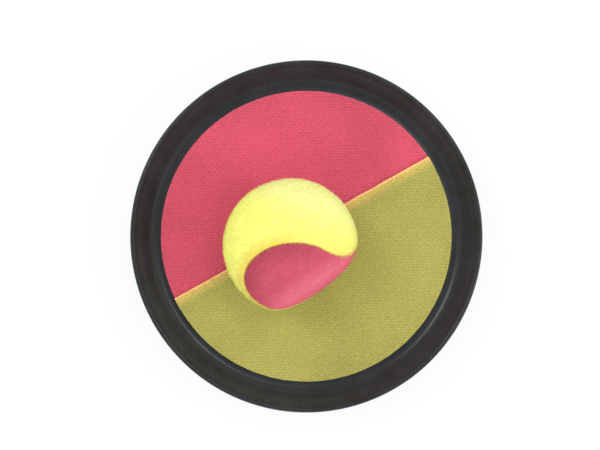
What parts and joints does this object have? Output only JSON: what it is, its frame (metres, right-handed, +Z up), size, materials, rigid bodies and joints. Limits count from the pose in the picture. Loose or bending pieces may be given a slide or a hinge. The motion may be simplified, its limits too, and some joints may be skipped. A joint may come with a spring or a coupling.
{
  "type": "hook and loop catch paddle",
  "caption": "Round catch paddle: a shallow black dish faced with two-colour hook fabric, an adjustable hand strap on its back and a soft felt ball that sticks to the face.",
  "frame": {"origin": "on the dish's axis, at the level of the surface that the strap's palm lies on", "axes": "+Z up out of the catching face, +X along the lap between the two fabrics towards the flap of the strap, +Y towards the red half"},
  "size_m": [0.17, 0.17, 0.0869],
  "materials": {
    "dish_plastic": "gloss",
    "adhesive": "matte",
    "hook_red": "fine hooks",
    "hook_yellow": "fine hooks",
    "webbing": "woven",
    "patch": "hook and loop",
    "core_rubber": "matte",
    "felt_yellow": "felt",
    "felt_pink": "felt"
  },
  "bodies": {
    "paddle": {"dish": "dish_plastic", "face_adhesive": "adhesive", "hook_sheet_red": "hook_red", "hook_sheet_yellow": "hook_yellow", "strap_band": "webbing", "strap_loop_patch": "patch"},
    "flap": {"strap_flap": "webbing", "strap_hook_patch": "patch"},
    "ball": {"ball_core": "core_rubber", "ball_felt_yellow": "felt_yellow", "ball_felt_pink": "felt_pink"}
  },
  "joints": [
    {"name": "ball_release", "type": "slide", "parent": "paddle", "child": "ball", "axis": [0, 0, 1], "range_m": [0, 0.08]},
    {"name": "flap_peel", "type": "hinge", "parent": "paddle", "child": "flap", "pos_m": [0.0609, 0, 0.01915], "axis": [0, -1, 0], "range_deg": [0, 120]}
  ]
}
